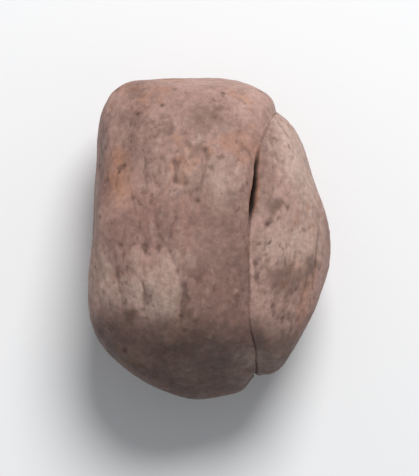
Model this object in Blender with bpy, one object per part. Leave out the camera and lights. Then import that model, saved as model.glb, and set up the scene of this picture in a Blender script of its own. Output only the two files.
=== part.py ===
"""A whole dried kola nut: one oval seed whose two unequal cotyledons meet at a lengthwise seam.

The nut lies on a small flat spot. +Y runs along its length to the blunt end, +X crosses its
width to the smaller cotyledon, and +Z is up. The origin is on the surface that the nut lies on,
under the middle of its box.
"""

import math

import bmesh
import bpy
import numpy as np
from mathutils import Vector, noise

MM = 0.001

# Size of the finished nut, from the flat spot up.
LENGTH = 30.4 * MM
WIDTH = 22.8 * MM
THICKNESS = 19.0 * MM
REST_CUT = 0.34 * MM  # the flat spot is this far above the lowest point of the round form

# The round form: a superellipsoid, a little fuller than an ellipsoid.
FULLNESS = 2.17

# Its shoulders: the way each one points from the middle, how far it stands out, and its spread.
SHOULDERS = (
    ((-0.62, 0.78, 0.08), 1.00 * MM, 0.36),
    ((-0.61, -0.79, 0.00), 0.35 * MM, 0.70),
    ((0.55, 0.10, 0.80), 0.45 * MM, 0.60),
    ((-0.40, -0.20, 0.85), 0.35 * MM, 0.55),
)

# Places where its neighbours in the pod pressed it flat: the way each one faces and its depth.
FACET_SOFTNESS = 0.45 * MM
FACETS = (
    ((-1.00, 0.08, 0.05), 1.38 * MM),  # long flat left side
    ((0.93, 0.36, 0.10), 1.15 * MM),  # from the blunt end to the right side
    ((0.10, -0.82, 0.57), 1.05 * MM),  # faces up at the narrow end
    ((-0.52, -0.85, -0.05), 0.58 * MM),
    ((0.83, -0.56, 0.05), 0.14 * MM),
    ((0.03, 0.99, 0.12), 1.40 * MM),
    ((0.43, 0.90, 0.05), 0.58 * MM),  # corner between the blunt end and the right side
    ((0.76, 0.64, 0.05), 0.80 * MM),  # end of the small cotyledon, below that corner
    ((0.75, -0.10, 0.66), 0.60 * MM),  # upper side of the small cotyledon
    ((-0.55, 0.15, -0.83), 1.00 * MM),
    ((0.45, 0.55, -0.72), 0.90 * MM),
)

# The seam is where the form meets a bowed sheet between the cotyledons, at
# x = SEAM_X + SEAM_LEAN * z + bow * abs(y - SEAM_MIDDLE_Y) ** 3
SEAM_X = 3.90 * MM
SEAM_LEAN = 0.03
SEAM_MIDDLE_Y = -1.5 * MM
SEAM_BOW = (0.0007 / MM**2, 0.0014 / MM**2)  # towards the narrow end, and towards the blunt one
SEAM_WANDER = 0.50 * MM

# Stations round the seam, each at an angle in degrees: 0 is the blunt end, 90 the upper side and
# 180 the narrow end. Each has an opening, where 1 is a gap and 0 a closed crease, and how many
# millimetres the seam's valley reaches on the large cotyledon and on the small one.
SEAM_STATIONS = (
    (0, 0.12, 1.0, 1.1),
    (45, 0.10, 0.8, 1.6),
    (58, 0.15, 0.8, 2.0),
    (63, 0.50, 0.8, 2.2),
    (69, 0.60, 0.9, 2.0),
    (75, 1.00, 1.1, 1.6),
    (80, 0.85, 1.4, 1.3),
    (85, 0.40, 1.7, 1.0),
    (91, 0.10, 2.0, 0.7),
    (98, 0.05, 2.1, 0.7),
    (130, 0.05, 2.1, 0.7),
    (160, 0.15, 1.4, 0.9),
    (180, 0.45, 1.1, 1.1),
    (215, 0.20, 1.5, 0.9),
    (250, 0.70, 1.0, 1.6),
    (275, 0.85, 1.0, 1.4),
    (320, 0.25, 1.4, 1.0),
)
VALLEY_DEPTH = 0.50 * MM
GAP_DEPTH = (0.08 * MM, 1.00 * MM)  # where the opening is 0 and where it is 1
GAP_HALF_WIDTH = (0.12 * MM, 0.22 * MM)
LIP_STEP = 0.12 * MM  # the small cotyledon's lip stands this much above the large one's
LIP_REACH = 2.2 * MM

# The pit on the seam at the narrow end, where the seedling would come out.
PIT_ANGLE = 180.0
PIT_DEPTH = 0.85 * MM
PIT_REACH = (1.15 * MM, 1.70 * MM)  # across the seam and along it

# Relief that drying leaves. Creases run lengthwise, fade in and out, and end before the two ends.
NOISE_START = (3.1, 7.4, 1.9)
LUMP_HEIGHT = 0.50 * MM
LUMP_SIZE = 8.5 * MM
ROLL_HEIGHT = 0.16 * MM
ROLL_SIZE = 3.6 * MM
CREASE_DEPTH = 0.20 * MM
CREASE_SPACING = 3.4 * MM
CREASE_SHARE = 0.38  # how much of the spacing a crease takes
CREASE_STRETCH = 0.36
CREASE_BEND = 2.4 * MM
CREASE_PATCH = 5.5 * MM
CREASE_END = (0.55, 0.88)  # where they start to fade and where they end, as shares of half the nut

# The relief fades away round the lowest point, where the nut has worn smooth.
WORN_WAY = (-0.02, 0.02, -1.0)
WORN_REACH = 5.0 * MM
WORN_SHARE = 0.85

# Dents: the way each one lies from the middle, its depth and its radius.
DENTS = (
    ((-0.42, -0.52, 0.74), 0.22 * MM, 1.1 * MM),
    ((-0.12, -0.55, 0.83), 0.20 * MM, 0.9 * MM),
    ((-0.55, 0.42, 0.72), 0.16 * MM, 1.9 * MM),
    ((0.80, 0.05, 0.60), 0.14 * MM, 1.4 * MM),
    ((-0.30, 0.20, -0.93), 0.25 * MM, 1.6 * MM),
    ((0.55, -0.35, -0.75), 0.30 * MM, 1.8 * MM),
    ((-0.85, -0.30, -0.40), 0.22 * MM, 1.5 * MM),
    ((-0.20, 0.95, 0.10), 0.20 * MM, 1.3 * MM),
)

# Mesh of each cotyledon: a round cap of square rings in its middle, belts of faces round that,
# then bands along the seam at these distances from it. Pairs are the large and small cotyledon.
CAP_RINGS = 15
CAP_ROUNDNESS = 0.9  # 0 leaves the cap's outer ring square, and 1 makes it a circle
CAP_SHARE = (0.60, 0.75)  # how far the cap reaches towards the bands
BELTS = (13, 5)
BANDS = (1.30 * MM, 0.78 * MM, 0.42 * MM, 0.20 * MM)

SKIN_COLOUR = (0.27, 0.17, 0.125, 1.0)
SKIN_ROUGHNESS = 0.72

HALF = np.array([WIDTH, LENGTH, THICKNESS + REST_CUT]) / 2


def unit(direction):
    return np.array(direction) / np.linalg.norm(direction)


def smooth_form(colatitude, longitude):
    """Points of the form before any relief. Colatitude is 0 in the middle of the large
    cotyledon, and longitude is the angle round the line from there to the small one."""
    sine = np.sin(colatitude)
    way = np.stack(
        [-np.cos(colatitude), sine * np.cos(longitude), sine * np.sin(longitude)], axis=-1
    )
    size = (np.abs(way) ** FULLNESS).sum(axis=-1, keepdims=True) ** (-1 / FULLNESS)
    points = way * size * HALF
    for direction, height, spread in SHOULDERS:
        off_axis = np.arccos(np.clip(way @ unit(direction), -1, 1))
        points = points + (height * np.exp(-((off_axis / spread) ** 2)))[..., None] * unit(direction)
    dual = FULLNESS / (FULLNESS - 1)
    for direction, depth in FACETS:
        normal = unit(direction)
        furthest = (np.abs(HALF * normal) ** dual).sum() ** (1 / dual)
        beyond = points @ normal - (furthest - depth)
        pressed = FACET_SOFTNESS * np.log1p(np.exp(beyond / FACET_SOFTNESS))
        points = points - pressed[..., None] * normal
    return points


def seam_colatitude(longitude):
    """Where the seam crosses each meridian, found by halving."""
    wander = [
        noise.noise(Vector((2.2 * math.cos(a), 2.2 * math.sin(a), NOISE_START[0])))
        for a in longitude
    ]
    low = np.full_like(longitude, 0.2)
    high = np.full_like(longitude, math.pi - 0.2)
    for _ in range(40):
        middle = (low + high) / 2
        x, y, z = smooth_form(middle, longitude).T
        bow = np.where(y < SEAM_MIDDLE_Y, SEAM_BOW[0], SEAM_BOW[1])
        sheet = SEAM_X + SEAM_LEAN * z + bow * np.abs(y - SEAM_MIDDLE_Y) ** 3
        past = x > sheet + SEAM_WANDER * np.array(wander)
        high = np.where(past, middle, high)
        low = np.where(past, low, middle)
    return (low + high) / 2


def cap_places(rings):
    """A square grid of that many rings, rounded: each point's distance and angle."""
    step = np.linspace(-CAP_ROUNDNESS, CAP_ROUNDNESS, 2 * rings + 1)
    i, j = (g.ravel() for g in np.meshgrid(step, step, indexing="ij"))
    x = i * np.sqrt(1 - j**2 / 2)
    y = j * np.sqrt(1 - i**2 / 2)
    return np.hypot(x, y), np.arctan2(y, x) % (2 * math.pi)


def cap_edge(rings):
    """Indices of the grid's outermost ring, in the order of its angle."""
    def index(i, j):
        return (i + rings) * (2 * rings + 1) + j + rings

    edge = [index(rings, c) for c in range(rings)]
    edge += [index(rings - c, rings) for c in range(2 * rings)]
    edge += [index(-rings, rings - c) for c in range(2 * rings)]
    edge += [index(-rings + c, -rings) for c in range(2 * rings)]
    edge += [index(rings, c - rings) for c in range(rings)]
    return edge


def nut_mesh():
    """Places and faces of the whole surface. A place is colatitude, longitude, distance from
    the seam, and side: -1 on the large cotyledon, 0 on the seam, and 1 on the small one."""
    distance, longitude = cap_places(CAP_RINGS)
    edge_of_cap = cap_edge(CAP_RINGS)
    around = longitude[edge_of_cap]
    columns = len(around)
    seam = seam_colatitude(around)
    nudge = 0.001
    across = smooth_form(seam + nudge, around) - smooth_form(seam - nudge, around)
    reach = np.linalg.norm(across, axis=-1) / (2 * nudge)  # metres per radian of colatitude

    places = [np.stack([seam, around, np.zeros(columns), np.zeros(columns)], axis=-1)]
    faces = []
    count = columns
    for side, cap_share, belts in zip((-1, 1), CAP_SHARE, BELTS):
        pole = 0.0 if side < 0 else math.pi
        rows = [(distance * cap_share, longitude)]
        start = distance[edge_of_cap] * cap_share
        for belt in range(1, belts + 1):
            rows.append((start + (1 - start) * belt / belts, around))
        for share, lon in rows:
            seam_here = np.interp(lon, around, seam, period=2 * math.pi)
            reach_here = np.interp(lon, around, reach, period=2 * math.pi)
            last = seam_here + side * BANDS[0] / reach_here
            colatitude = pole + (last - pole) * share
            off_seam = np.abs(colatitude - seam_here) * reach_here
            places.append(np.stack([colatitude, lon, off_seam, np.full_like(lon, side)], axis=-1))
        for band in BANDS[1:]:
            colatitude = seam + side * band / reach
            off_seam = np.full(columns, band)
            places.append(np.stack([colatitude, around, off_seam, np.full(columns, side)], axis=-1))

        width = 2 * CAP_RINGS + 1
        for i in range(width - 1):
            for j in range(width - 1):
                corner = count + i * width + j
                faces.append((corner, corner + width, corner + width + 1, corner + 1))
        edge = [count + index for index in edge_of_cap]
        count += width * width
        for _ in range(belts + len(BANDS) - 1):
            row = range(count, count + columns)
            faces += [(edge[c - 1], row[c - 1], row[c], edge[c]) for c in range(columns)]
            edge = row
            count += columns
        faces += [(edge[c - 1], (c - 1) % columns, c, edge[c]) for c in range(columns)]
    return np.concatenate(places), faces


def noise_over(points, size, lengthwise=1.0, shift=0.0):
    spots = points / size * np.array([1.0, lengthwise, 1.0]) + np.array(NOISE_START) + shift
    return np.array([noise.noise(Vector(spot)) for spot in spots])


def smoothstep(value, low, high):
    t = np.clip((value - low) / (high - low), 0, 1)
    return t * t * (3 - 2 * t)


def seam_relief(points, places):
    """Height of the valley, the gap, the step between the lips, and the pit."""
    longitude, off_seam, side = places[:, 1], places[:, 2], places[:, 3]
    angles, *values = zip(*SEAM_STATIONS)
    opening, large_reach, small_reach = (
        np.interp(np.degrees(longitude), angles, value, period=360) for value in values
    )
    gap_depth = GAP_DEPTH[0] + (GAP_DEPTH[1] - GAP_DEPTH[0]) * opening
    gap_half = GAP_HALF_WIDTH[0] + (GAP_HALF_WIDTH[1] - GAP_HALF_WIDTH[0]) * opening
    valley_reach = np.where(side < 0, large_reach, small_reach) * MM
    height = -VALLEY_DEPTH * np.exp(-((off_seam / valley_reach) ** 2))
    height -= gap_depth * np.exp(-((off_seam / gap_half) ** 2.5))
    height += side * LIP_STEP / 2 * np.exp(-off_seam / LIP_REACH)
    on_seam = np.where(side == 0, np.abs(np.degrees(longitude) - PIT_ANGLE), 360.0)
    pit = points[np.argmin(on_seam)]
    along = np.maximum(((points - pit) ** 2).sum(axis=1) - off_seam**2, 0) / PIT_REACH[1] ** 2
    height -= PIT_DEPTH * np.exp(-((off_seam / PIT_REACH[0]) ** 2) - along)
    return height


def relief(points, places):
    """How far each point of the skin stands off the smooth form."""
    height = LUMP_HEIGHT * noise_over(points, LUMP_SIZE)
    height += ROLL_HEIGHT * noise_over(points, ROLL_SIZE, 0.7, 5.0)
    bend = CREASE_BEND * noise_over(points, 2 * CREASE_SPACING, 1.0, 13.0)
    line = noise_over(points + bend[:, None], CREASE_SPACING, CREASE_STRETCH, 11.0)
    patch = np.clip(0.45 + 1.6 * noise_over(points, CREASE_PATCH, 1.0, 17.0), 0, 1)
    patch *= 1 - smoothstep(np.abs(points[:, 1]) / HALF[1], *CREASE_END)
    height -= CREASE_DEPTH * patch * np.maximum(1 - np.abs(line) / CREASE_SHARE, 0) ** 1.5
    ways = points / np.linalg.norm(points, axis=1, keepdims=True)
    for direction, depth, radius in DENTS:
        toward = unit(direction)
        centre = points[np.argmax(ways @ toward)]
        away = np.linalg.norm(points - centre, axis=1)
        height -= depth * np.exp(-((away / radius) ** 2))
    lowest = points[np.argmax(ways @ unit(WORN_WAY))]
    away = np.linalg.norm(points - lowest, axis=1)
    height *= 1 - WORN_SHARE * np.exp(-((away / WORN_REACH) ** 2))
    return height + seam_relief(points, places)


def build_nut():
    places, faces = nut_mesh()
    points = smooth_form(places[:, 0], places[:, 1])
    bm = bmesh.new()
    verts = [bm.verts.new(point) for point in points]
    for face in faces:
        bm.faces.new([verts[index] for index in face])
    bmesh.ops.recalc_face_normals(bm, faces=bm.faces)
    bm.normal_update()
    for vert, height in zip(verts, relief(points, places)):
        vert.co += vert.normal * height

    # Bring the box to size, cut the flat spot, and stand the nut on it.
    corners = np.array([vert.co for vert in verts])
    low, high = corners.min(axis=0), corners.max(axis=0)
    fit = 2 * HALF / (high - low)
    bmesh.ops.translate(bm, vec=Vector(-(low + high) / 2), verts=bm.verts)
    bmesh.ops.scale(bm, vec=Vector(fit), verts=bm.verts)
    bmesh.ops.translate(bm, vec=Vector((0, 0, HALF[2] - REST_CUT)), verts=bm.verts)
    bmesh.ops.bisect_plane(
        bm,
        geom=bm.verts[:] + bm.edges[:] + bm.faces[:],
        dist=0.01 * MM,
        plane_co=(0, 0, 0),
        plane_no=(0, 0, -1),
        clear_outer=True,
    )
    rim = [edge for edge in bm.edges if edge.is_boundary]
    for edge in rim:
        for vert in edge.verts:
            vert.co.z = 0.0
    spot = bmesh.ops.contextual_create(bm, geom=rim)["faces"]
    bmesh.ops.recalc_face_normals(bm, faces=bm.faces)
    for face in bm.faces:
        face.smooth = True
    for face in spot:
        face.smooth = False
        for edge in face.edges:
            edge.smooth = False

    mesh = bpy.data.meshes.new("kola_nut")
    bm.to_mesh(mesh)
    bm.free()
    nut = bpy.data.objects.new("kola_nut", mesh)
    bpy.context.scene.collection.objects.link(nut)
    return nut


def skin_material():
    material = bpy.data.materials.new("nut_skin")
    material.use_nodes = True
    shader = material.node_tree.nodes["Principled BSDF"]
    shader.inputs["Base Color"].default_value = SKIN_COLOUR
    shader.inputs["Roughness"].default_value = SKIN_ROUGHNESS
    shader.inputs["Metallic"].default_value = 0.0
    return material


def main():
    for obj in list(bpy.data.objects):
        bpy.data.objects.remove(obj)
    nut = build_nut()
    nut.data.materials.append(skin_material())


main()
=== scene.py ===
"""The looks of a dried kola nut: a fine mesh of its skin, its finish, and a pale studio.

The nut lies on the floor at z = 0, with +Y along its length to the blunt end, +X across its
width to the smaller cotyledon, and +Z up. The camera looks straight down on it.
"""

import math

import bmesh
import bpy
import numpy as np
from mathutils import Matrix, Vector, noise


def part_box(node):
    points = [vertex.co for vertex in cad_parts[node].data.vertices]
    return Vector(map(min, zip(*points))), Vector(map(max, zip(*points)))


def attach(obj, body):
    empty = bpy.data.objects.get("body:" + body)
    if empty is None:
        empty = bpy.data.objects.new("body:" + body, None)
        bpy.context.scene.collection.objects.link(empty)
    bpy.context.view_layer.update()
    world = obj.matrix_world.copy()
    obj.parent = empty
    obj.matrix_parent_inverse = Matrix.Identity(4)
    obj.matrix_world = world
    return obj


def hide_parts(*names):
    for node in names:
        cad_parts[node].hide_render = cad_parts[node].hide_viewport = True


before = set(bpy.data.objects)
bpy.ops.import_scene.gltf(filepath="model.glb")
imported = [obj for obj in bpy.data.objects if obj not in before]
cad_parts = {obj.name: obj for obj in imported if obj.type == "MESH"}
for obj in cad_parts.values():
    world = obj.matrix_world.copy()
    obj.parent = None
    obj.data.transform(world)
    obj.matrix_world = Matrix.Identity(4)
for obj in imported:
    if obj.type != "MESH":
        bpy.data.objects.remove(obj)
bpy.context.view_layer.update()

MM = 0.001
NODE = "kola_nut"

# The form of the CAD solid, from the same values. It starts as a superellipsoid in the node's box.
BOX_LOW, BOX_HIGH = (np.array(corner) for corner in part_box(NODE))
WIDTH, LENGTH, THICKNESS = BOX_HIGH - BOX_LOW
REST_CUT = 0.34 * MM  # the flat spot is this far above the lowest point of the round form
HALF = np.array([WIDTH, LENGTH, THICKNESS + REST_CUT]) / 2
FULLNESS = 2.17  # 2 is an ellipsoid, and more is fuller

# Its shoulders: the way each one points from the middle, how far it stands out, and its spread.
SHOULDERS = (
    ((-0.62, 0.78, 0.08), 1.00 * MM, 0.36),
    ((-0.61, -0.79, 0.00), 0.35 * MM, 0.70),
    ((0.55, 0.10, 0.80), 0.45 * MM, 0.60),
    ((-0.40, -0.20, 0.85), 0.35 * MM, 0.55),
)

# Places where its neighbours in the pod pressed it flat: the way each one faces and its depth.
FACET_SOFTNESS = 0.45 * MM
FACETS = (
    ((-1.00, 0.08, 0.05), 1.38 * MM),  # long flat left side
    ((0.93, 0.36, 0.10), 1.15 * MM),  # from the blunt end to the right side
    ((0.10, -0.82, 0.57), 1.05 * MM),  # faces up at the narrow end
    ((-0.52, -0.85, -0.05), 0.58 * MM),
    ((0.83, -0.56, 0.05), 0.14 * MM),
    ((0.03, 0.99, 0.12), 1.40 * MM),
    ((0.43, 0.90, 0.05), 0.58 * MM),  # corner between the blunt end and the right side
    ((0.76, 0.64, 0.05), 0.80 * MM),  # end of the small cotyledon, below that corner
    ((0.75, -0.10, 0.66), 0.60 * MM),  # upper side of the small cotyledon
    ((-0.55, 0.15, -0.83), 1.00 * MM),
    ((0.45, 0.55, -0.72), 0.90 * MM),
)

# The seam is where the form meets a bowed sheet between the cotyledons, at
# x = SEAM_X + SEAM_LEAN * z + bow * abs(y - SEAM_MIDDLE_Y) ** 3
SEAM_X = 3.90 * MM
SEAM_LEAN = 0.03
SEAM_MIDDLE_Y = -1.5 * MM
SEAM_BOW = (0.0007 / MM**2, 0.0014 / MM**2)  # towards the narrow end, and towards the blunt one
SEAM_WANDER = 0.50 * MM
SEAM_WANDER_PACE = 2.2  # a larger one lets the seam change its way more often

# Stations round the seam, each at an angle in degrees: 0 is the blunt end, 90 the upper side and
# 180 the narrow end. Each has an opening, where 1 is a gap and 0 a closed crease, and how many
# millimetres the seam's valley reaches on the large cotyledon and on the small one.
SEAM_STATIONS = (
    (0, 0.12, 1.0, 1.1),
    (45, 0.10, 0.8, 1.6),
    (58, 0.15, 0.8, 2.0),
    (63, 0.50, 0.8, 2.2),
    (69, 0.60, 0.9, 2.0),
    (75, 1.00, 1.1, 1.6),
    (80, 0.85, 1.4, 1.3),
    (85, 0.40, 1.7, 1.0),
    (91, 0.10, 2.0, 0.7),
    (98, 0.05, 2.1, 0.7),
    (130, 0.05, 2.1, 0.7),
    (160, 0.15, 1.4, 0.9),
    (180, 0.45, 1.1, 1.1),
    (215, 0.20, 1.5, 0.9),
    (250, 0.70, 1.0, 1.6),
    (275, 0.85, 1.0, 1.4),
    (320, 0.25, 1.4, 1.0),
)
VALLEY_DEPTH = 0.50 * MM
LIP_STEP = 0.12 * MM  # the small cotyledon's lip stands this much above the large one's
LIP_REACH = 2.2 * MM

# The pit on the seam at the narrow end, where the seedling would come out.
PIT_ANGLE = 180.0
PIT_DEPTH = 0.85 * MM
PIT_REACH = (1.15 * MM, 1.70 * MM)  # across the seam and along it

# Relief that drying leaves. Creases run lengthwise, fade in and out, and end before the two ends.
NOISE_START = (3.1, 7.4, 1.9)
LUMP_HEIGHT = 0.50 * MM
LUMP_SIZE = 8.5 * MM
ROLL_HEIGHT = 0.16 * MM
ROLL_SIZE = 3.6 * MM
CREASE_DEPTH = 0.20 * MM
CREASE_SPACING = 3.4 * MM
CREASE_SHARE = 0.38  # how much of the spacing a crease takes
CREASE_STRETCH = 0.36
CREASE_BEND = 2.4 * MM
CREASE_END = (0.55, 0.88)  # where they start to fade and where they end, as shares of half the nut

# The relief fades away round the lowest point, where the nut has worn smooth.
WORN_WAY = (-0.02, 0.02, -1.0)
WORN_REACH = 5.0 * MM
WORN_SHARE = 0.85

# Dents: the way each one lies from the middle, its depth and its radius.
DENTS = (
    ((-0.42, -0.52, 0.74), 0.22 * MM, 1.1 * MM),
    ((-0.12, -0.55, 0.83), 0.20 * MM, 0.9 * MM),
    ((-0.55, 0.42, 0.72), 0.16 * MM, 1.9 * MM),
    ((0.80, 0.05, 0.60), 0.14 * MM, 1.4 * MM),
    ((-0.30, 0.20, -0.93), 0.25 * MM, 1.6 * MM),
    ((0.55, -0.35, -0.75), 0.30 * MM, 1.8 * MM),
    ((-0.85, -0.30, -0.40), 0.22 * MM, 1.5 * MM),
    ((-0.20, 0.95, 0.10), 0.20 * MM, 1.3 * MM),
)

# The mesh is laid out as the CAD solid's, about nineteen times as fine. Each cotyledon has a round
# cap of square rings in its middle, belts of faces round that, then bands along the seam at these
# distances from it. Pairs are the large and the small cotyledon.
CAP_RINGS = 66
CAP_ROUNDNESS = 0.9  # 0 leaves the cap's outer ring square, and 1 makes it a circle
CAP_SHARE = (0.55, 0.75)  # how far the cap reaches towards the bands
BELTS = (60, 24)
BANDS = tuple(
    band * MM
    for band in (1.30, 1.12, 0.96, 0.82, 0.69, 0.57, 0.46, 0.37, 0.29, 0.22, 0.16, 0.105, 0.055)
)

# From here on: what the CAD solid is too coarse for. First the seam. Pairs are where its opening
# is 0, which is a hairline, and where it is 1.
GAP_DEPTH = (0.10 * MM, 1.00 * MM)
GAP_HALF_WIDTH = (0.06 * MM, 0.22 * MM)
GAP_STEEPNESS = 3.2
ROOT_DEPTH = 0.90 * MM  # the narrow root of the open gap
ROOT_HALF_WIDTH = 0.10 * MM
LIP_ROUGHNESS = 0.38  # how much the gap's width varies along the seam
LIP_RAGGED = ((1.3 * MM, 1.0, 23.0), (0.5 * MM, 0.6, 24.0))  # size, strength and shift of each noise
LIP_WIDTH = 0.30 * MM
CHIP_DEPTH = 0.16 * MM  # bites out of the open gap's lips
CHIP_SIZE = 0.9 * MM
CHIP_RISE = (0.12, 0.45)  # where in the noise a bite starts, and where it is whole
NUB_HEIGHT = 0.45 * MM  # the seedling's tip, in the pit
NUB_RADIUS = 0.55 * MM

# The painted shade of the seam: a closed hairline, the pit, and how much of that the nub takes away.
HAIRLINE_SHADE = 0.22
OPEN_RISE = (0.1, 0.8)  # the openings between which a hairline turns as dark as a gap
PIT_SHADE = 0.62
NUB_PALENESS = 0.7

# Patches that a relief comes and goes in: their size, the noise's shift, the middle and contrast
# of the share that is left of it, and the least.
CREASE_PATCHES = (5.5 * MM, 17.0, 0.45, 1.6, 0.0)
WRINKLE_PATCHES = (6.0 * MM, 37.0, 0.55, 1.5, 0.15)
LEATHER_PATCHES = (5.0 * MM, 57.0, 0.50, 1.7, 0.10)

# Fine relief of the skin. Wrinkles: depth, spacing and lengthwise stretch of each set.
WRINKLES = (
    (0.095 * MM, 2.30 * MM, 0.28),
    (0.055 * MM, 1.10 * MM, 0.32),
)
WRINKLE_SHARE = 0.40
WRINKLE_STEEPNESS = 1.6
WRINKLE_BEND = 0.35  # as a share of their spacing
WRINKLE_END = (0.60, 0.90)  # where they start to fade towards the two ends, and where they have
WRINKLE_END_LOSS = 0.85  # how much of their depth is gone there
LEATHER_HEIGHT = 0.065 * MM
LEATHER_SIZE = 0.95 * MM
LEATHER_MIDDLE = 0.3  # the crinkles' middle height, which the skin keeps
PORE_DEPTH = 0.085 * MM
PORE_CELL = 1.9 * MM
PORE_SHIFT = 7.0
PORE_RADIUS = (0.05, 0.11)  # as a share of the cell: the least, and how much more the widest has
PORE_RANK_SCALE = 9.7  # apart enough for each pore to get a rank of its own, from 0 to 1
PORE_FREE = 0.1  # the share of the cells that have no pore
GRAIN_HEIGHT = 0.018 * MM
GRAIN_SIZE = 0.38 * MM
SEAM_CALM = (0.10 * MM, 0.55 * MM)  # how far off the seam the fine relief starts, and is whole

# The thin outer film, which is rubbed away in patches.
FILM_HEIGHT = 0.018 * MM
FILM_PATCH = 3.8 * MM
FILM_STRETCH = 0.6
FILM_COVER = 0.30  # the larger, the less of the film is gone
FILM_RAGGED = ((1.2 * MM, 0.35, 67.0), (0.5 * MM, 0.15, 71.0))  # size, strength and shift
FILM_EDGE = (-0.20, 0.18)  # where in the noise the film is gone, and where it is whole

# Marks on the upper side. Their edges are ragged from two noises: size, strength and shift.
MARK_RAGGED = ((0.6 * MM, 1.0, 79.0), (0.25 * MM, 0.5, 83.0))
MARKS_RISE = 0.3  # they fade in from half the nut's height to this share of the way to its top

# Spots: each one's place across and along in millimetres, its radius and how dark it is.
SPOTS = (
    ((6.3, 2.4), 0.75, 0.75),
    ((9.5, -2.8), 0.80, 0.60),
    ((7.1, -4.3), 1.90, 0.62),
    ((-6.4, -7.3), 0.75, 0.80),
    ((-1.2, -7.3), 0.65, 0.80),
    ((-5.8, 12.8), 0.90, 0.40),
    ((-5.8, 10.2), 0.80, 0.50),
    ((-3.2, 9.2), 0.90, 0.40),
    ((1.1, 11.1), 0.45, 0.55),
    ((-0.6, 7.3), 0.70, 0.55),
    ((-0.9, 4.4), 1.00, 0.35),
    ((0.2, -8.2), 1.90, 0.34),
    ((6.8, -8.2), 2.10, 0.26),
)
SPOT_EDGE = (1.5, 0.2)  # in radii: where a spot starts, and where it is as dark as it gets
SPOT_RAGGEDNESS = 0.9
STREAK = ((-7.5, 5.0), (1.0, 2.6))  # the warm streak on the left: its place and half its size
STREAK_RAGGEDNESS = 0.5

# Painted shade and dirt in the dips beside the seam: which side, the middle and half the length,
# and the reach.
DIP_SHADE_AND_DIRT = (
    (-1, -3.0, 5.8, 4.4),
    (1, 6.0, 4.2, 1.9),
)
DIP_RAGGEDNESS = 0.5

# Pale patches, one of them a painted highlight, and dull ones where the strength is below 0: place,
# half size, lean and strength.
TONES_AND_HIGHLIGHT = (
    ((8.3, 6.5), (1.7, 5.5), 0.30, 0.85),  # painted highlight on the crest of the small cotyledon
    ((8.6, -1.4), (1.8, 2.2), 0.0, 0.78),
    ((5.7, -1.4), (1.3, 1.9), 0.0, 0.45),
    ((-5.4, -5.6), (4.4, 2.3), 0.25, 0.72),  # large patch above the olive end
    ((-2.7, -2.3), (1.7, 2.0), 0.0, 0.50),
    ((-9.3, -2.2), (1.7, 2.2), 0.0, 0.50),
    ((-6.2, -1.6), (1.8, 1.6), 0.0, -0.32),
    ((1.6, 4.8), (2.0, 3.0), 0.0, 0.50),
    ((4.8, -11.6), (2.2, 1.3), 0.0, 0.55),
    ((-6.2, 7.2), (2.2, 2.2), 0.2, -0.60),
    ((0.2, 10.0), (2.8, 2.2), 0.0, -0.90),
    ((0.2, -2.2), (2.0, 2.2), 0.0, -0.60),
)
TONE_RAGGEDNESS = 0.45

CAVITY_BLUR = 24  # steps along the mesh that a hollow is measured against


def linear(red, green, blue):
    """A display colour, 0 to 255, as the shader wants it."""
    return [((c / 255 + 0.055) / 1.055) ** 2.4 for c in (red, green, blue)] + [1.0]


# Colours of the skin without the haze that the bag's plastic lays over them in the photo. TAUPE,
# PINK_TAN and GREY_BROWN are the film's, and BARE shows where the film is gone.
TAUPE = linear(138, 105, 96)
PINK_TAN = linear(168, 136, 125)
GREY_BROWN = linear(117, 90, 81)
BARE = linear(160, 113, 87)
CINNAMON = linear(168, 110, 76)
# A pale tint for what stands up and for the pale tones, one of which is a painted highlight.
PALE_TINT = linear(192, 168, 154)
# Olive-grey painted shade at the narrow end, and a paler mottle of that shade.
OLIVE_SHADE = linear(83, 66, 59)
OLIVE_SHADE_PALE = linear(106, 86, 76)
SPOT = linear(84, 60, 50)
# Painted shade and dirt in the hollows of the relief.
CAVITY_SHADE_AND_DIRT = linear(70, 48, 39)
# Painted shade inside the open gap, along the seam's closed hairline and in the pit.
GAP_SHADE = linear(38, 27, 22)

# Where the colour starts to turn pink towards the blunt end, or to olive-grey painted shade towards
# the narrow one, and where it has turned. Both limits wobble by END_WOBBLE at most. The painted
# shade also lies further out on the right, by OLIVE_SHADE_LEAN for each unit across.
BLUNT_END = (6.5 * MM, 14.0 * MM)
NARROW_END = (-2.0 * MM, -8.0 * MM)
END_WOBBLE = 5.0 * MM
OLIVE_SHADE_LEAN = 0.15

# Sizes of the patterns in the skin's colour and gloss, then its bump and shine.
MOTTLE_SIZE = 7.0 * MM
BLOTCH_SIZE = 2.6 * MM
OLIVE_SHADE_SIZE = 2.2 * MM
GLOSS_SIZE = 1.6 * MM
RUB_SIZE = 1.4 * MM
FLECK_SIZE = 0.9 * MM
SPECKLE_SIZE = 0.55 * MM
FIBRE_SIZE = 0.50 * MM
BUMP_COARSE_SIZE = 0.28 * MM
BUMP_FINE_SIZE = 0.10 * MM
BUMP_HEIGHT = 0.040 * MM
BUMP_STRENGTH = 0.65
SPECULAR = 0.35

# The studio, in metres and watts: a grey floor, a pale sky and one large lamp.
FLOOR_HALF = 0.8
FLOOR_COLOUR = (0.80, 0.80, 0.80, 1)
FLOOR_ROUGHNESS = 0.9
SKY_COLOUR = (0.93, 0.96, 1.0, 1)
SKY_STRENGTH = 0.36
LAMP_PLACE = (0.07, 0.25, 0.32)
LAMP_AIM = (0, 0, 0.008)
LAMP_SIZE = 0.20
LAMP_POWER = 1.80
CAMERA_HEIGHT = 0.37
CAMERA_LENS = 290  # millimetres
CAMERA_CLIP = 0.01


def unit(direction):
    return np.array(direction) / np.linalg.norm(direction)


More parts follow.
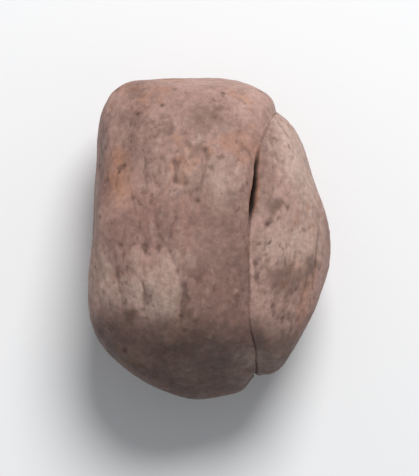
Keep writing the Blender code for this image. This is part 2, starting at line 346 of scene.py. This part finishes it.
def smooth_form(colatitude, longitude):
    """Points of the form before any relief. Colatitude is 0 in the middle of the large
    cotyledon, and longitude is the angle round the line from there to the small one."""
    sine = np.sin(colatitude)
    way = np.stack(
        [-np.cos(colatitude), sine * np.cos(longitude), sine * np.sin(longitude)], axis=-1
    )
    size = (np.abs(way) ** FULLNESS).sum(axis=-1, keepdims=True) ** (-1 / FULLNESS)
    points = way * size * HALF
    for direction, height, spread in SHOULDERS:
        off_axis = np.arccos(np.clip(way @ unit(direction), -1, 1))
        points = points + (height * np.exp(-((off_axis / spread) ** 2)))[..., None] * unit(direction)
    dual = FULLNESS / (FULLNESS - 1)
    for direction, depth in FACETS:
        normal = unit(direction)
        furthest = (np.abs(HALF * normal) ** dual).sum() ** (1 / dual)
        beyond = points @ normal - (furthest - depth)
        pressed = FACET_SOFTNESS * np.log1p(np.exp(beyond / FACET_SOFTNESS))
        points = points - pressed[..., None] * normal
    return points


def seam_colatitude(longitude):
    """Where the seam crosses each meridian, found by halving."""
    circle = SEAM_WANDER_PACE * np.stack([np.cos(longitude), np.sin(longitude)], axis=-1)
    wander = np.array([noise.noise(Vector((x, y, NOISE_START[0]))) for x, y in circle])
    margin = 0.2  # radians kept clear at both ends of the meridian
    low = np.full_like(longitude, margin)
    high = np.full_like(longitude, math.pi - margin)
    for _ in range(40):
        middle = (low + high) / 2
        x, y, z = smooth_form(middle, longitude).T
        bow = np.where(y < SEAM_MIDDLE_Y, SEAM_BOW[0], SEAM_BOW[1])
        sheet = SEAM_X + SEAM_LEAN * z + bow * np.abs(y - SEAM_MIDDLE_Y) ** 3
        past = x > sheet + SEAM_WANDER * wander
        high = np.where(past, middle, high)
        low = np.where(past, low, middle)
    return (low + high) / 2


def cap_places(rings):
    """A square grid of that many rings, rounded: each point's distance and angle."""
    step = np.linspace(-CAP_ROUNDNESS, CAP_ROUNDNESS, 2 * rings + 1)
    i, j = (g.ravel() for g in np.meshgrid(step, step, indexing="ij"))
    x = i * np.sqrt(1 - j**2 / 2)
    y = j * np.sqrt(1 - i**2 / 2)
    return np.hypot(x, y), np.arctan2(y, x) % (2 * math.pi)


def cap_edge(rings):
    """Indices of the grid's outermost ring, in the order of its angle."""
    def index(i, j):
        return (i + rings) * (2 * rings + 1) + j + rings

    edge = [index(rings, c) for c in range(rings)]
    edge += [index(rings - c, rings) for c in range(2 * rings)]
    edge += [index(-rings, rings - c) for c in range(2 * rings)]
    edge += [index(-rings + c, -rings) for c in range(2 * rings)]
    edge += [index(rings, c - rings) for c in range(rings)]
    return edge


def nut_mesh():
    """Places and faces of the whole surface. A place is colatitude, longitude, distance from
    the seam, and side: -1 on the large cotyledon, 0 on the seam, and 1 on the small one."""
    distance, longitude = cap_places(CAP_RINGS)
    edge_of_cap = cap_edge(CAP_RINGS)
    around = longitude[edge_of_cap]
    columns = len(around)
    seam = seam_colatitude(around)
    nudge = 0.001  # radians
    across = smooth_form(seam + nudge, around) - smooth_form(seam - nudge, around)
    reach = np.linalg.norm(across, axis=-1) / (2 * nudge)  # metres per radian of colatitude

    places = [np.stack([seam, around, np.zeros(columns), np.zeros(columns)], axis=-1)]
    faces = []
    count = columns
    for side, cap_share, belts in zip((-1, 1), CAP_SHARE, BELTS):
        pole = 0.0 if side < 0 else math.pi
        rows = [(distance * cap_share, longitude)]
        start = distance[edge_of_cap] * cap_share
        for belt in range(1, belts + 1):
            rows.append((start + (1 - start) * belt / belts, around))
        for share, lon in rows:
            seam_here = np.interp(lon, around, seam, period=2 * math.pi)
            reach_here = np.interp(lon, around, reach, period=2 * math.pi)
            last = seam_here + side * BANDS[0] / reach_here
            colatitude = pole + (last - pole) * share
            off_seam = np.abs(colatitude - seam_here) * reach_here
            places.append(np.stack([colatitude, lon, off_seam, np.full_like(lon, side)], axis=-1))
        for band in BANDS[1:]:
            colatitude = seam + side * band / reach
            off_seam = np.full(columns, band)
            places.append(np.stack([colatitude, around, off_seam, np.full(columns, side)], axis=-1))

        width = 2 * CAP_RINGS + 1
        for i in range(width - 1):
            for j in range(width - 1):
                corner = count + i * width + j
                faces.append((corner, corner + width, corner + width + 1, corner + 1))
        edge = [count + index for index in edge_of_cap]
        count += width * width
        for _ in range(belts + len(BANDS) - 1):
            row = range(count, count + columns)
            faces += [(edge[c - 1], row[c - 1], row[c], edge[c]) for c in range(columns)]
            edge = row
            count += columns
        faces += [(edge[c - 1], (c - 1) % columns, c, edge[c]) for c in range(columns)]
    return np.concatenate(places), faces


def noise_over(points, size, lengthwise=1.0, shift=0.0):
    spots = points / size * np.array([1.0, lengthwise, 1.0]) + np.array(NOISE_START) + shift
    return np.array([noise.noise(Vector(spot)) for spot in spots])


def ragged_over(points, layers):
    """Several noises added up, each of its own size, strength and shift."""
    return sum(strength * noise_over(points, size, shift=shift) for size, strength, shift in layers)


def patches_over(points, size, shift, middle, contrast, least):
    return np.clip(middle + contrast * noise_over(points, size, shift=shift), least, 1)


def smoothstep(value, low, high):
    t = np.clip((value - low) / (high - low), 0, 1)
    return t * t * (3 - 2 * t)


def bell(distance, reach):
    return np.exp(-((distance / reach) ** 2))


def seam_relief(points, places):
    """Height of the valley, the gap, the step between the lips, and the pit with its nub. Also
    the painted shade of each point from the gap and the pit, and how near to the gap's open lips it
    is."""
    longitude, off_seam, side = places[:, 1], places[:, 2], places[:, 3]
    angles, *values = zip(*SEAM_STATIONS)
    opening, large_reach, small_reach = (
        np.interp(np.degrees(longitude), angles, value, period=360) for value in values
    )
    gap_depth = GAP_DEPTH[0] + (GAP_DEPTH[1] - GAP_DEPTH[0]) * opening
    gap_half = GAP_HALF_WIDTH[0] + (GAP_HALF_WIDTH[1] - GAP_HALF_WIDTH[0]) * opening
    gap_half *= 1 + LIP_ROUGHNESS * ragged_over(points, LIP_RAGGED)
    gap = np.exp(-((off_seam / gap_half) ** GAP_STEEPNESS))
    height = -VALLEY_DEPTH * bell(off_seam, np.where(side < 0, large_reach, small_reach) * MM)
    height -= gap_depth * gap
    height -= ROOT_DEPTH * opening**2 * bell(off_seam, ROOT_HALF_WIDTH)
    height += side * LIP_STEP / 2 * np.exp(-off_seam / LIP_REACH)
    bite = smoothstep(noise_over(points, CHIP_SIZE, shift=29.0), *CHIP_RISE)
    on_lip = opening * bell(np.maximum(off_seam - gap_half, 0), LIP_WIDTH) * (1 - gap)
    height -= CHIP_DEPTH * bite * on_lip

    on_seam = np.where(side == 0, np.abs(np.degrees(longitude) - PIT_ANGLE), 360.0)
    pit = points[np.argmin(on_seam)]
    away = ((points - pit) ** 2).sum(axis=1)
    along = np.maximum(away - off_seam**2, 0) / PIT_REACH[1] ** 2
    in_pit = np.exp(-((off_seam / PIT_REACH[0]) ** 2) - along)
    height -= PIT_DEPTH * in_pit
    nub = np.exp(-away / NUB_RADIUS**2)
    height += NUB_HEIGHT * nub

    # Painted shade: dark in the gap and along the hairline, and in the pit.
    shade = gap * (HAIRLINE_SHADE + (1 - HAIRLINE_SHADE) * smoothstep(opening, *OPEN_RISE))
    shade = np.maximum(shade, PIT_SHADE * in_pit**2) * (1 - NUB_PALENESS * nub)
    return height, shade, on_lip


def form_relief(points):
    """The lumps, creases and dents that the CAD solid has too."""
    height = LUMP_HEIGHT * noise_over(points, LUMP_SIZE)
    height += ROLL_HEIGHT * noise_over(points, ROLL_SIZE, lengthwise=0.7, shift=5.0)
    bend = CREASE_BEND * noise_over(points, 2 * CREASE_SPACING, shift=13.0)
    line = noise_over(points + bend[:, None], CREASE_SPACING, CREASE_STRETCH, shift=11.0)
    patch = patches_over(points, *CREASE_PATCHES)
    patch *= 1 - smoothstep(np.abs(points[:, 1]) / HALF[1], *CREASE_END)
    height -= CREASE_DEPTH * patch * np.maximum(1 - np.abs(line) / CREASE_SHARE, 0) ** 1.5
    ways = points / np.linalg.norm(points, axis=1, keepdims=True)
    for direction, depth, radius in DENTS:
        centre = points[np.argmax(ways @ unit(direction))]
        height -= depth * bell(np.linalg.norm(points - centre, axis=1), radius)
    lowest = points[np.argmax(ways @ unit(WORN_WAY))]
    return height * (1 - WORN_SHARE * bell(np.linalg.norm(points - lowest, axis=1), WORN_REACH))


def wrinkles_over(points):
    """How deep the fine lengthwise wrinkles are."""
    patch = patches_over(points, *WRINKLE_PATCHES)
    patch *= 1 - WRINKLE_END_LOSS * smoothstep(np.abs(points[:, 1]) / HALF[1], *WRINKLE_END)
    total = np.zeros(len(points))
    for number, (depth, spacing, stretch) in enumerate(WRINKLES):
        bend = WRINKLE_BEND * spacing * noise_over(points, 2.5 * spacing, shift=41.0 + number)
        line = noise_over(points + bend[:, None], spacing, stretch, shift=43.0 + number)
        crease = np.maximum(1 - np.abs(line) / WRINKLE_SHARE, 0) ** WRINKLE_STEEPNESS
        total += depth * crease * patch
    return total


def leather_over(points):
    """Height of the leathery crinkles between the wrinkles."""
    crinkle = np.abs(noise_over(points, LEATHER_SIZE, lengthwise=0.75, shift=53.0))
    finer = np.abs(noise_over(points, LEATHER_SIZE / 2, lengthwise=0.8, shift=54.0))
    patch = patches_over(points, *LEATHER_PATCHES)
    return LEATHER_HEIGHT * patch * (crinkle + finer / 2 - LEATHER_MIDDLE)


def pores_over(points):
    """How deep each point is in one of the skin's scattered pores, from 0 to 1."""
    depth = np.zeros(len(points))
    for index, cell in enumerate(points / PORE_CELL + PORE_SHIFT):
        near, centres = noise.voronoi(Vector(cell))
        rank = noise.cell(centres[0] * PORE_RANK_SCALE)
        if rank > PORE_FREE:
            depth[index] = bell(near[0], PORE_RADIUS[0] + PORE_RADIUS[1] * rank)
    return depth


def film_over(points):
    """How much of the outer film is left, from 0 to 1."""
    film = FILM_COVER + noise_over(points, FILM_PATCH, FILM_STRETCH, shift=61.0)
    return smoothstep(film + ragged_over(points, FILM_RAGGED), *FILM_EDGE)


def marks(points, places):
    """How strong the spots, the warm streak, the painted shade and dirt in the dips beside the seam
    and the tones are.
    """
    upper = smoothstep(points[:, 2], 0.0, MARKS_RISE * HALF[2])
    ragged = ragged_over(points, MARK_RAGGED)
    flat = points[:, :2] / MM
    spots = np.zeros(len(points))
    for place, radius, darkness in SPOTS:
        away = np.hypot(*(flat - place).T) / radius * (1 + SPOT_RAGGEDNESS * ragged)
        spots = np.maximum(spots, darkness * smoothstep(away, *SPOT_EDGE))
    across, along = ((flat - STREAK[0]) / STREAK[1]).T
    streak = np.exp(-((across + STREAK_RAGGEDNESS * ragged) ** 2) - along**4)
    dip_shade_and_dirt = np.zeros(len(points))
    for side, middle, half, reach in DIP_SHADE_AND_DIRT:
        beside = bell(places[:, 2] / MM, reach) * (places[:, 3] * side >= 0)
        window = np.exp(-(((flat[:, 1] - middle) / half) ** 4))
        dip_shade_and_dirt = np.maximum(dip_shade_and_dirt, beside * window * (1 + DIP_RAGGEDNESS * ragged))
    tone_and_highlight = np.zeros(len(points))
    for place, half, lean, strength in TONES_AND_HIGHLIGHT:
        x, y = (flat - place).T
        away = np.hypot((x + lean * y) / half[0], y / half[1])
        tone_and_highlight += strength * np.exp(-((away + TONE_RAGGEDNESS * ragged) ** 2))
    return {"spot": spots * upper, "streak": streak * upper, "dip_shade_and_dirt": dip_shade_and_dirt * upper, "tone_and_highlight": tone_and_highlight * upper}


def blurred(values, ends, times):
    """The values averaged with their neighbours along the mesh's edges, that many times."""
    a, b = ends
    count = np.bincount(a, minlength=len(values)) + np.bincount(b, minlength=len(values))
    for _ in range(times):
        total = np.bincount(a, values[b], len(values)) + np.bincount(b, values[a], len(values))
        values = (values + total / count) / 2
    return values


def vertex_normals(mesh):
    """The mesh's normals as one array, once its faces all look outwards."""
    bm = bmesh.new()
    bm.from_mesh(mesh)
    bmesh.ops.recalc_face_normals(bm, faces=bm.faces)
    bm.to_mesh(mesh)
    bm.free()
    normals = np.empty(len(mesh.vertices) * 3)
    mesh.vertex_normals.foreach_get("vector", normals)
    return normals.reshape(-1, 3)


def fitted(points):
    """The points in the box of the CAD solid, with the same flat spot on the floor."""
    low, high = points.min(axis=0), points.max(axis=0)
    points = (points - (low + high) / 2) * 2 * HALF / (high - low)
    points[:, 2] = np.maximum(points[:, 2] + HALF[2] - REST_CUT, 0)
    points[:, :2] += (BOX_LOW + BOX_HIGH)[:2] / 2
    return points


def build_nut():
    places, faces = nut_mesh()
    points = smooth_form(places[:, 0], places[:, 1])
    mesh = bpy.data.meshes.new("nut_skin")
    mesh.from_pydata(points.tolist(), [], faces)
    normals = vertex_normals(mesh)

    # The second value is the seam's painted shade, kept in the gap attribute.
    seam_height, gap, lip = seam_relief(points, places)
    film, pores = film_over(points), pores_over(points)
    fine_height = GRAIN_HEIGHT * noise_over(points, GRAIN_SIZE, shift=31.0) + FILM_HEIGHT * film
    fine_height += leather_over(points) - wrinkles_over(points) - PORE_DEPTH * pores
    skin_height = form_relief(points) + fine_height * smoothstep(places[:, 2], *SEAM_CALM)
    raised = points + normals * (skin_height + seam_height)[:, None]
    mesh.vertices.foreach_set("co", fitted(raised).ravel())

    edges = np.empty(len(mesh.edges) * 2, dtype=np.int64)
    mesh.edges.foreach_get("vertices", edges)
    around_it = blurred(skin_height, edges.reshape(-1, 2).T, CAVITY_BLUR)
    looks = marks(points, places)
    looks |= {"cavity": (around_it - skin_height) / MM, "film": film, "pore": pores}
    looks |= {"gap": gap, "lip": lip, "side": places[:, 3]}
    for name, values in looks.items():
        layer = mesh.attributes.new(name, "FLOAT", "POINT")
        layer.data.foreach_set("value", values.astype(np.float32))
    mesh.shade_smooth()
    mesh.update()
    nut = bpy.data.objects.new("nut_skin", mesh)
    bpy.context.scene.collection.objects.link(nut)
    return nut


class Nodes:
    """Short names for a material's nodes."""

    def __init__(self, name):
        self.material = bpy.data.materials.new(name)
        self.material.use_nodes = True
        self.tree = self.material.node_tree
        self.shader = self.tree.nodes["Principled BSDF"]

    def set(self, socket, value):
        if isinstance(value, bpy.types.NodeSocket):
            self.tree.links.new(value, socket)
        else:
            socket.default_value = value

    def attribute(self, name):
        node = self.tree.nodes.new("ShaderNodeAttribute")
        node.attribute_name = name
        return node.outputs["Fac"]

    def place(self):
        return self.tree.nodes.new("ShaderNodeTexCoord").outputs["Object"]

    def along(self, axis):
        node = self.tree.nodes.new("ShaderNodeSeparateXYZ")
        self.set(node.inputs[0], self.place())
        return node.outputs[axis]

    def noise(self, size, detail=3.0, rough=0.55, distortion=0.0, stretch=1.0, shift=0.0):
        mapping = self.tree.nodes.new("ShaderNodeMapping")
        self.set(mapping.inputs["Vector"], self.place())
        mapping.inputs["Scale"].default_value = (1 / size, stretch / size, 1 / size)
        mapping.inputs["Location"].default_value = (shift, shift, shift)
        node = self.tree.nodes.new("ShaderNodeTexNoise")
        self.set(node.inputs["Vector"], mapping.outputs["Vector"])
        node.inputs["Scale"].default_value = 1.0
        node.inputs["Detail"].default_value = detail
        node.inputs["Roughness"].default_value = rough
        node.inputs["Distortion"].default_value = distortion
        return node.outputs["Fac"]

    def ramp(self, value, low, high, to_low=0.0, to_high=1.0):
        node = self.tree.nodes.new("ShaderNodeMapRange")
        node.interpolation_type = "SMOOTHSTEP"
        self.set(node.inputs["Value"], value)
        limits = {"From Min": low, "From Max": high, "To Min": to_low, "To Max": to_high}
        for name, limit in limits.items():
            node.inputs[name].default_value = limit
        return node.outputs["Result"]

    def math(self, operation, a, b):
        node = self.tree.nodes.new("ShaderNodeMath")
        node.operation = operation
        self.set(node.inputs[0], a)
        self.set(node.inputs[1], b)
        return node.outputs[0]

    def add(self, a, b):
        return self.math("ADD", a, b)

    def times(self, a, b):
        return self.math("MULTIPLY", a, b)

    def mix(self, factor, a, b, blend="MIX"):
        node = self.tree.nodes.new("ShaderNodeMix")
        node.data_type = "RGBA"
        node.blend_type = blend
        self.set(node.inputs[0], factor)
        self.set(node.inputs[6], a)
        self.set(node.inputs[7], b)
        return node.outputs[2]

    def cover(self, color, over, share, value, low=0.0, high=1.0):
        """The first colour, with that share of the second over it where the value is high."""
        return self.mix(self.ramp(value, low, high, 0.0, share), color, over)

    def shade(self, color, value, low, high, darkest, palest):
        """The colour, darker where the value is low and paler where it is high."""
        return self.mix(1.0, color, self.ramp(value, low, high, darkest, palest), "MULTIPLY")


def ground_colour(n):
    """Broad soft mottling, pinker on the small cotyledon and the blunt end, warm where the film
    is rubbed away, and olive-grey painted shade at the narrow end."""
    color = n.mix(n.ramp(n.noise(MOTTLE_SIZE), 0.36, 0.64), TAUPE, PINK_TAN)
    color = n.cover(color, PINK_TAN, 0.52, n.attribute("side"))
    wobble = n.times(n.noise(END_WOBBLE, rough=0.6), END_WOBBLE)
    along = n.add(n.along("Y"), wobble)
    color = n.cover(color, PINK_TAN, 0.32, along, *BLUNT_END)
    rubbed = n.ramp(n.noise(RUB_SIZE, rough=0.6, shift=9.0), 0.30, 0.60, to_low=0.45)
    bare = n.times(n.ramp(n.attribute("film"), 0.1, 0.9, to_low=0.44, to_high=0.0), rubbed)
    color = n.mix(bare, color, BARE)
    right = n.math("MAXIMUM", n.along("X"), 0.0)
    along = n.add(along, n.times(right, OLIVE_SHADE_LEAN))
    # The narrow end turns to olive-grey painted shade.
    olive_shade_noise = n.noise(OLIVE_SHADE_SIZE, detail=4, rough=0.6, distortion=0.3, stretch=0.8, shift=27.0)
    olive_shade = n.mix(n.ramp(olive_shade_noise, 0.40, 0.68), OLIVE_SHADE, OLIVE_SHADE_PALE)
    return n.cover(color, olive_shade, 0.88, along, *NARROW_END)


def patchy_colour(n, color):
    """Dull blotches, painted shade and dirt in the dips, the warm streak, and the pale and dull
    tones.
    """
    blotch = n.noise(BLOTCH_SIZE, detail=4, rough=0.6, distortion=0.5, stretch=0.7, shift=3.0)
    color = n.cover(color, GREY_BROWN, 0.55, blotch, 0.48, 0.72)
    # Painted shade and dirt in the dips beside the seam.
    color = n.mix(n.times(n.attribute("dip_shade_and_dirt"), 0.85), color, GREY_BROWN)
    color = n.mix(n.times(n.attribute("streak"), 0.60), color, BARE)
    # Pale tones, with a painted highlight on the small cotyledon's crest.
    color = n.cover(color, PALE_TINT, 0.60, n.attribute("tone_and_highlight"))
    return n.cover(color, GREY_BROWN, 0.75, n.attribute("tone_and_highlight"), 0.0, -1.0)


def detail_colour(n, color, fibre):
    """Paler on what stands up, fine speckle, lengthwise fibres, flecks, spots and pores, painted
    shade and dirt in what lies low, with a warm rim and painted shade inside the gap."""
    color = n.cover(color, PALE_TINT, 0.22, n.attribute("cavity"), -0.010, -0.045)
    speckle = n.noise(SPECKLE_SIZE, detail=4, rough=0.65)
    color = n.shade(color, speckle, 0.30, 0.70, darkest=0.84, palest=1.13)
    color = n.shade(color, fibre, 0.32, 0.68, darkest=0.93, palest=1.06)
    fleck = n.noise(FLECK_SIZE, detail=2, rough=0.5, distortion=0.3, stretch=0.8, shift=15.0)
    color = n.cover(color, SPOT, 0.45, fleck, 0.62, 0.72)
    color = n.mix(n.attribute("spot"), color, SPOT)
    color = n.mix(n.times(n.attribute("pore"), 0.7), color, SPOT)
    # Painted shade and dirt in the hollows.
    color = n.cover(color, CAVITY_SHADE_AND_DIRT, 0.55, n.attribute("cavity"), 0.006, 0.070)
    color = n.cover(color, CINNAMON, 0.45, n.attribute("lip"), 0.2, 1.0)
    # Painted shade in the gap, the seam's hairline and the pit.
    return n.cover(color, GAP_SHADE, 0.92, n.attribute("gap"), 0.10, 0.85)


def skin_bump(n, fibre):
    coarse = n.noise(BUMP_COARSE_SIZE, detail=4, rough=0.6)
    fine = n.noise(BUMP_FINE_SIZE, detail=2, rough=0.5)
    bump = n.tree.nodes.new("ShaderNodeBump")
    n.set(bump.inputs["Height"], n.add(n.add(coarse, n.times(fine, 0.5)), n.times(fibre, 0.8)))
    bump.inputs["Strength"].default_value = BUMP_STRENGTH
    bump.inputs["Distance"].default_value = BUMP_HEIGHT
    return bump.outputs["Normal"]


def skin_material():
    n = Nodes("nut_skin")
    fibre = n.noise(FIBRE_SIZE, detail=4, rough=0.65, distortion=1.6, stretch=0.30, shift=33.0)
    color = detail_colour(n, patchy_colour(n, ground_colour(n)), fibre)
    roughness = n.ramp(n.noise(GLOSS_SIZE, rough=0.6), 0.3, 0.7, to_low=0.60, to_high=0.80)
    n.set(n.shader.inputs["Base Color"], color)
    n.set(n.shader.inputs["Roughness"], roughness)
    n.set(n.shader.inputs["Normal"], skin_bump(n, fibre))
    n.shader.inputs["Specular IOR Level"].default_value = SPECULAR
    return n.material


def floor():
    mesh = bpy.data.meshes.new("floor")
    corners = [(x * FLOOR_HALF, y * FLOOR_HALF, 0) for x, y in ((-1, -1), (1, -1), (1, 1), (-1, 1))]
    mesh.from_pydata(corners, [], [(0, 1, 2, 3)])
    plane = bpy.data.objects.new("floor", mesh)
    bpy.context.scene.collection.objects.link(plane)
    n = Nodes("floor")
    n.shader.inputs["Base Color"].default_value = FLOOR_COLOUR
    n.shader.inputs["Roughness"].default_value = FLOOR_ROUGHNESS
    mesh.materials.append(n.material)


def lamp():
    data = bpy.data.lights.new("key", "AREA")
    data.shape = "DISK"
    data.size = LAMP_SIZE
    data.energy = LAMP_POWER
    key = bpy.data.objects.new("key", data)
    key.location = LAMP_PLACE
    way = Vector(LAMP_AIM) - Vector(LAMP_PLACE)
    key.rotation_euler = way.to_track_quat("-Z", "Y").to_euler()
    bpy.context.scene.collection.objects.link(key)


def studio():
    scene = bpy.context.scene
    scene.view_settings.view_transform = "Standard"
    scene.view_settings.look = "None"
    scene.world = bpy.data.worlds.new("studio")
    scene.world.use_nodes = True
    sky = scene.world.node_tree.nodes["Background"]
    sky.inputs["Color"].default_value = SKY_COLOUR
    sky.inputs["Strength"].default_value = SKY_STRENGTH
    lamp()

    camera = bpy.data.objects.new("camera", bpy.data.cameras.new("camera"))
    scene.collection.objects.link(camera)
    camera.data.lens = CAMERA_LENS
    camera.data.clip_start = CAMERA_CLIP
    camera.location = (0, 0, CAMERA_HEIGHT)
    scene.camera = camera


nut = build_nut()
nut.data.materials.append(skin_material())
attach(nut, "root")
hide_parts(NODE)
floor()
studio()
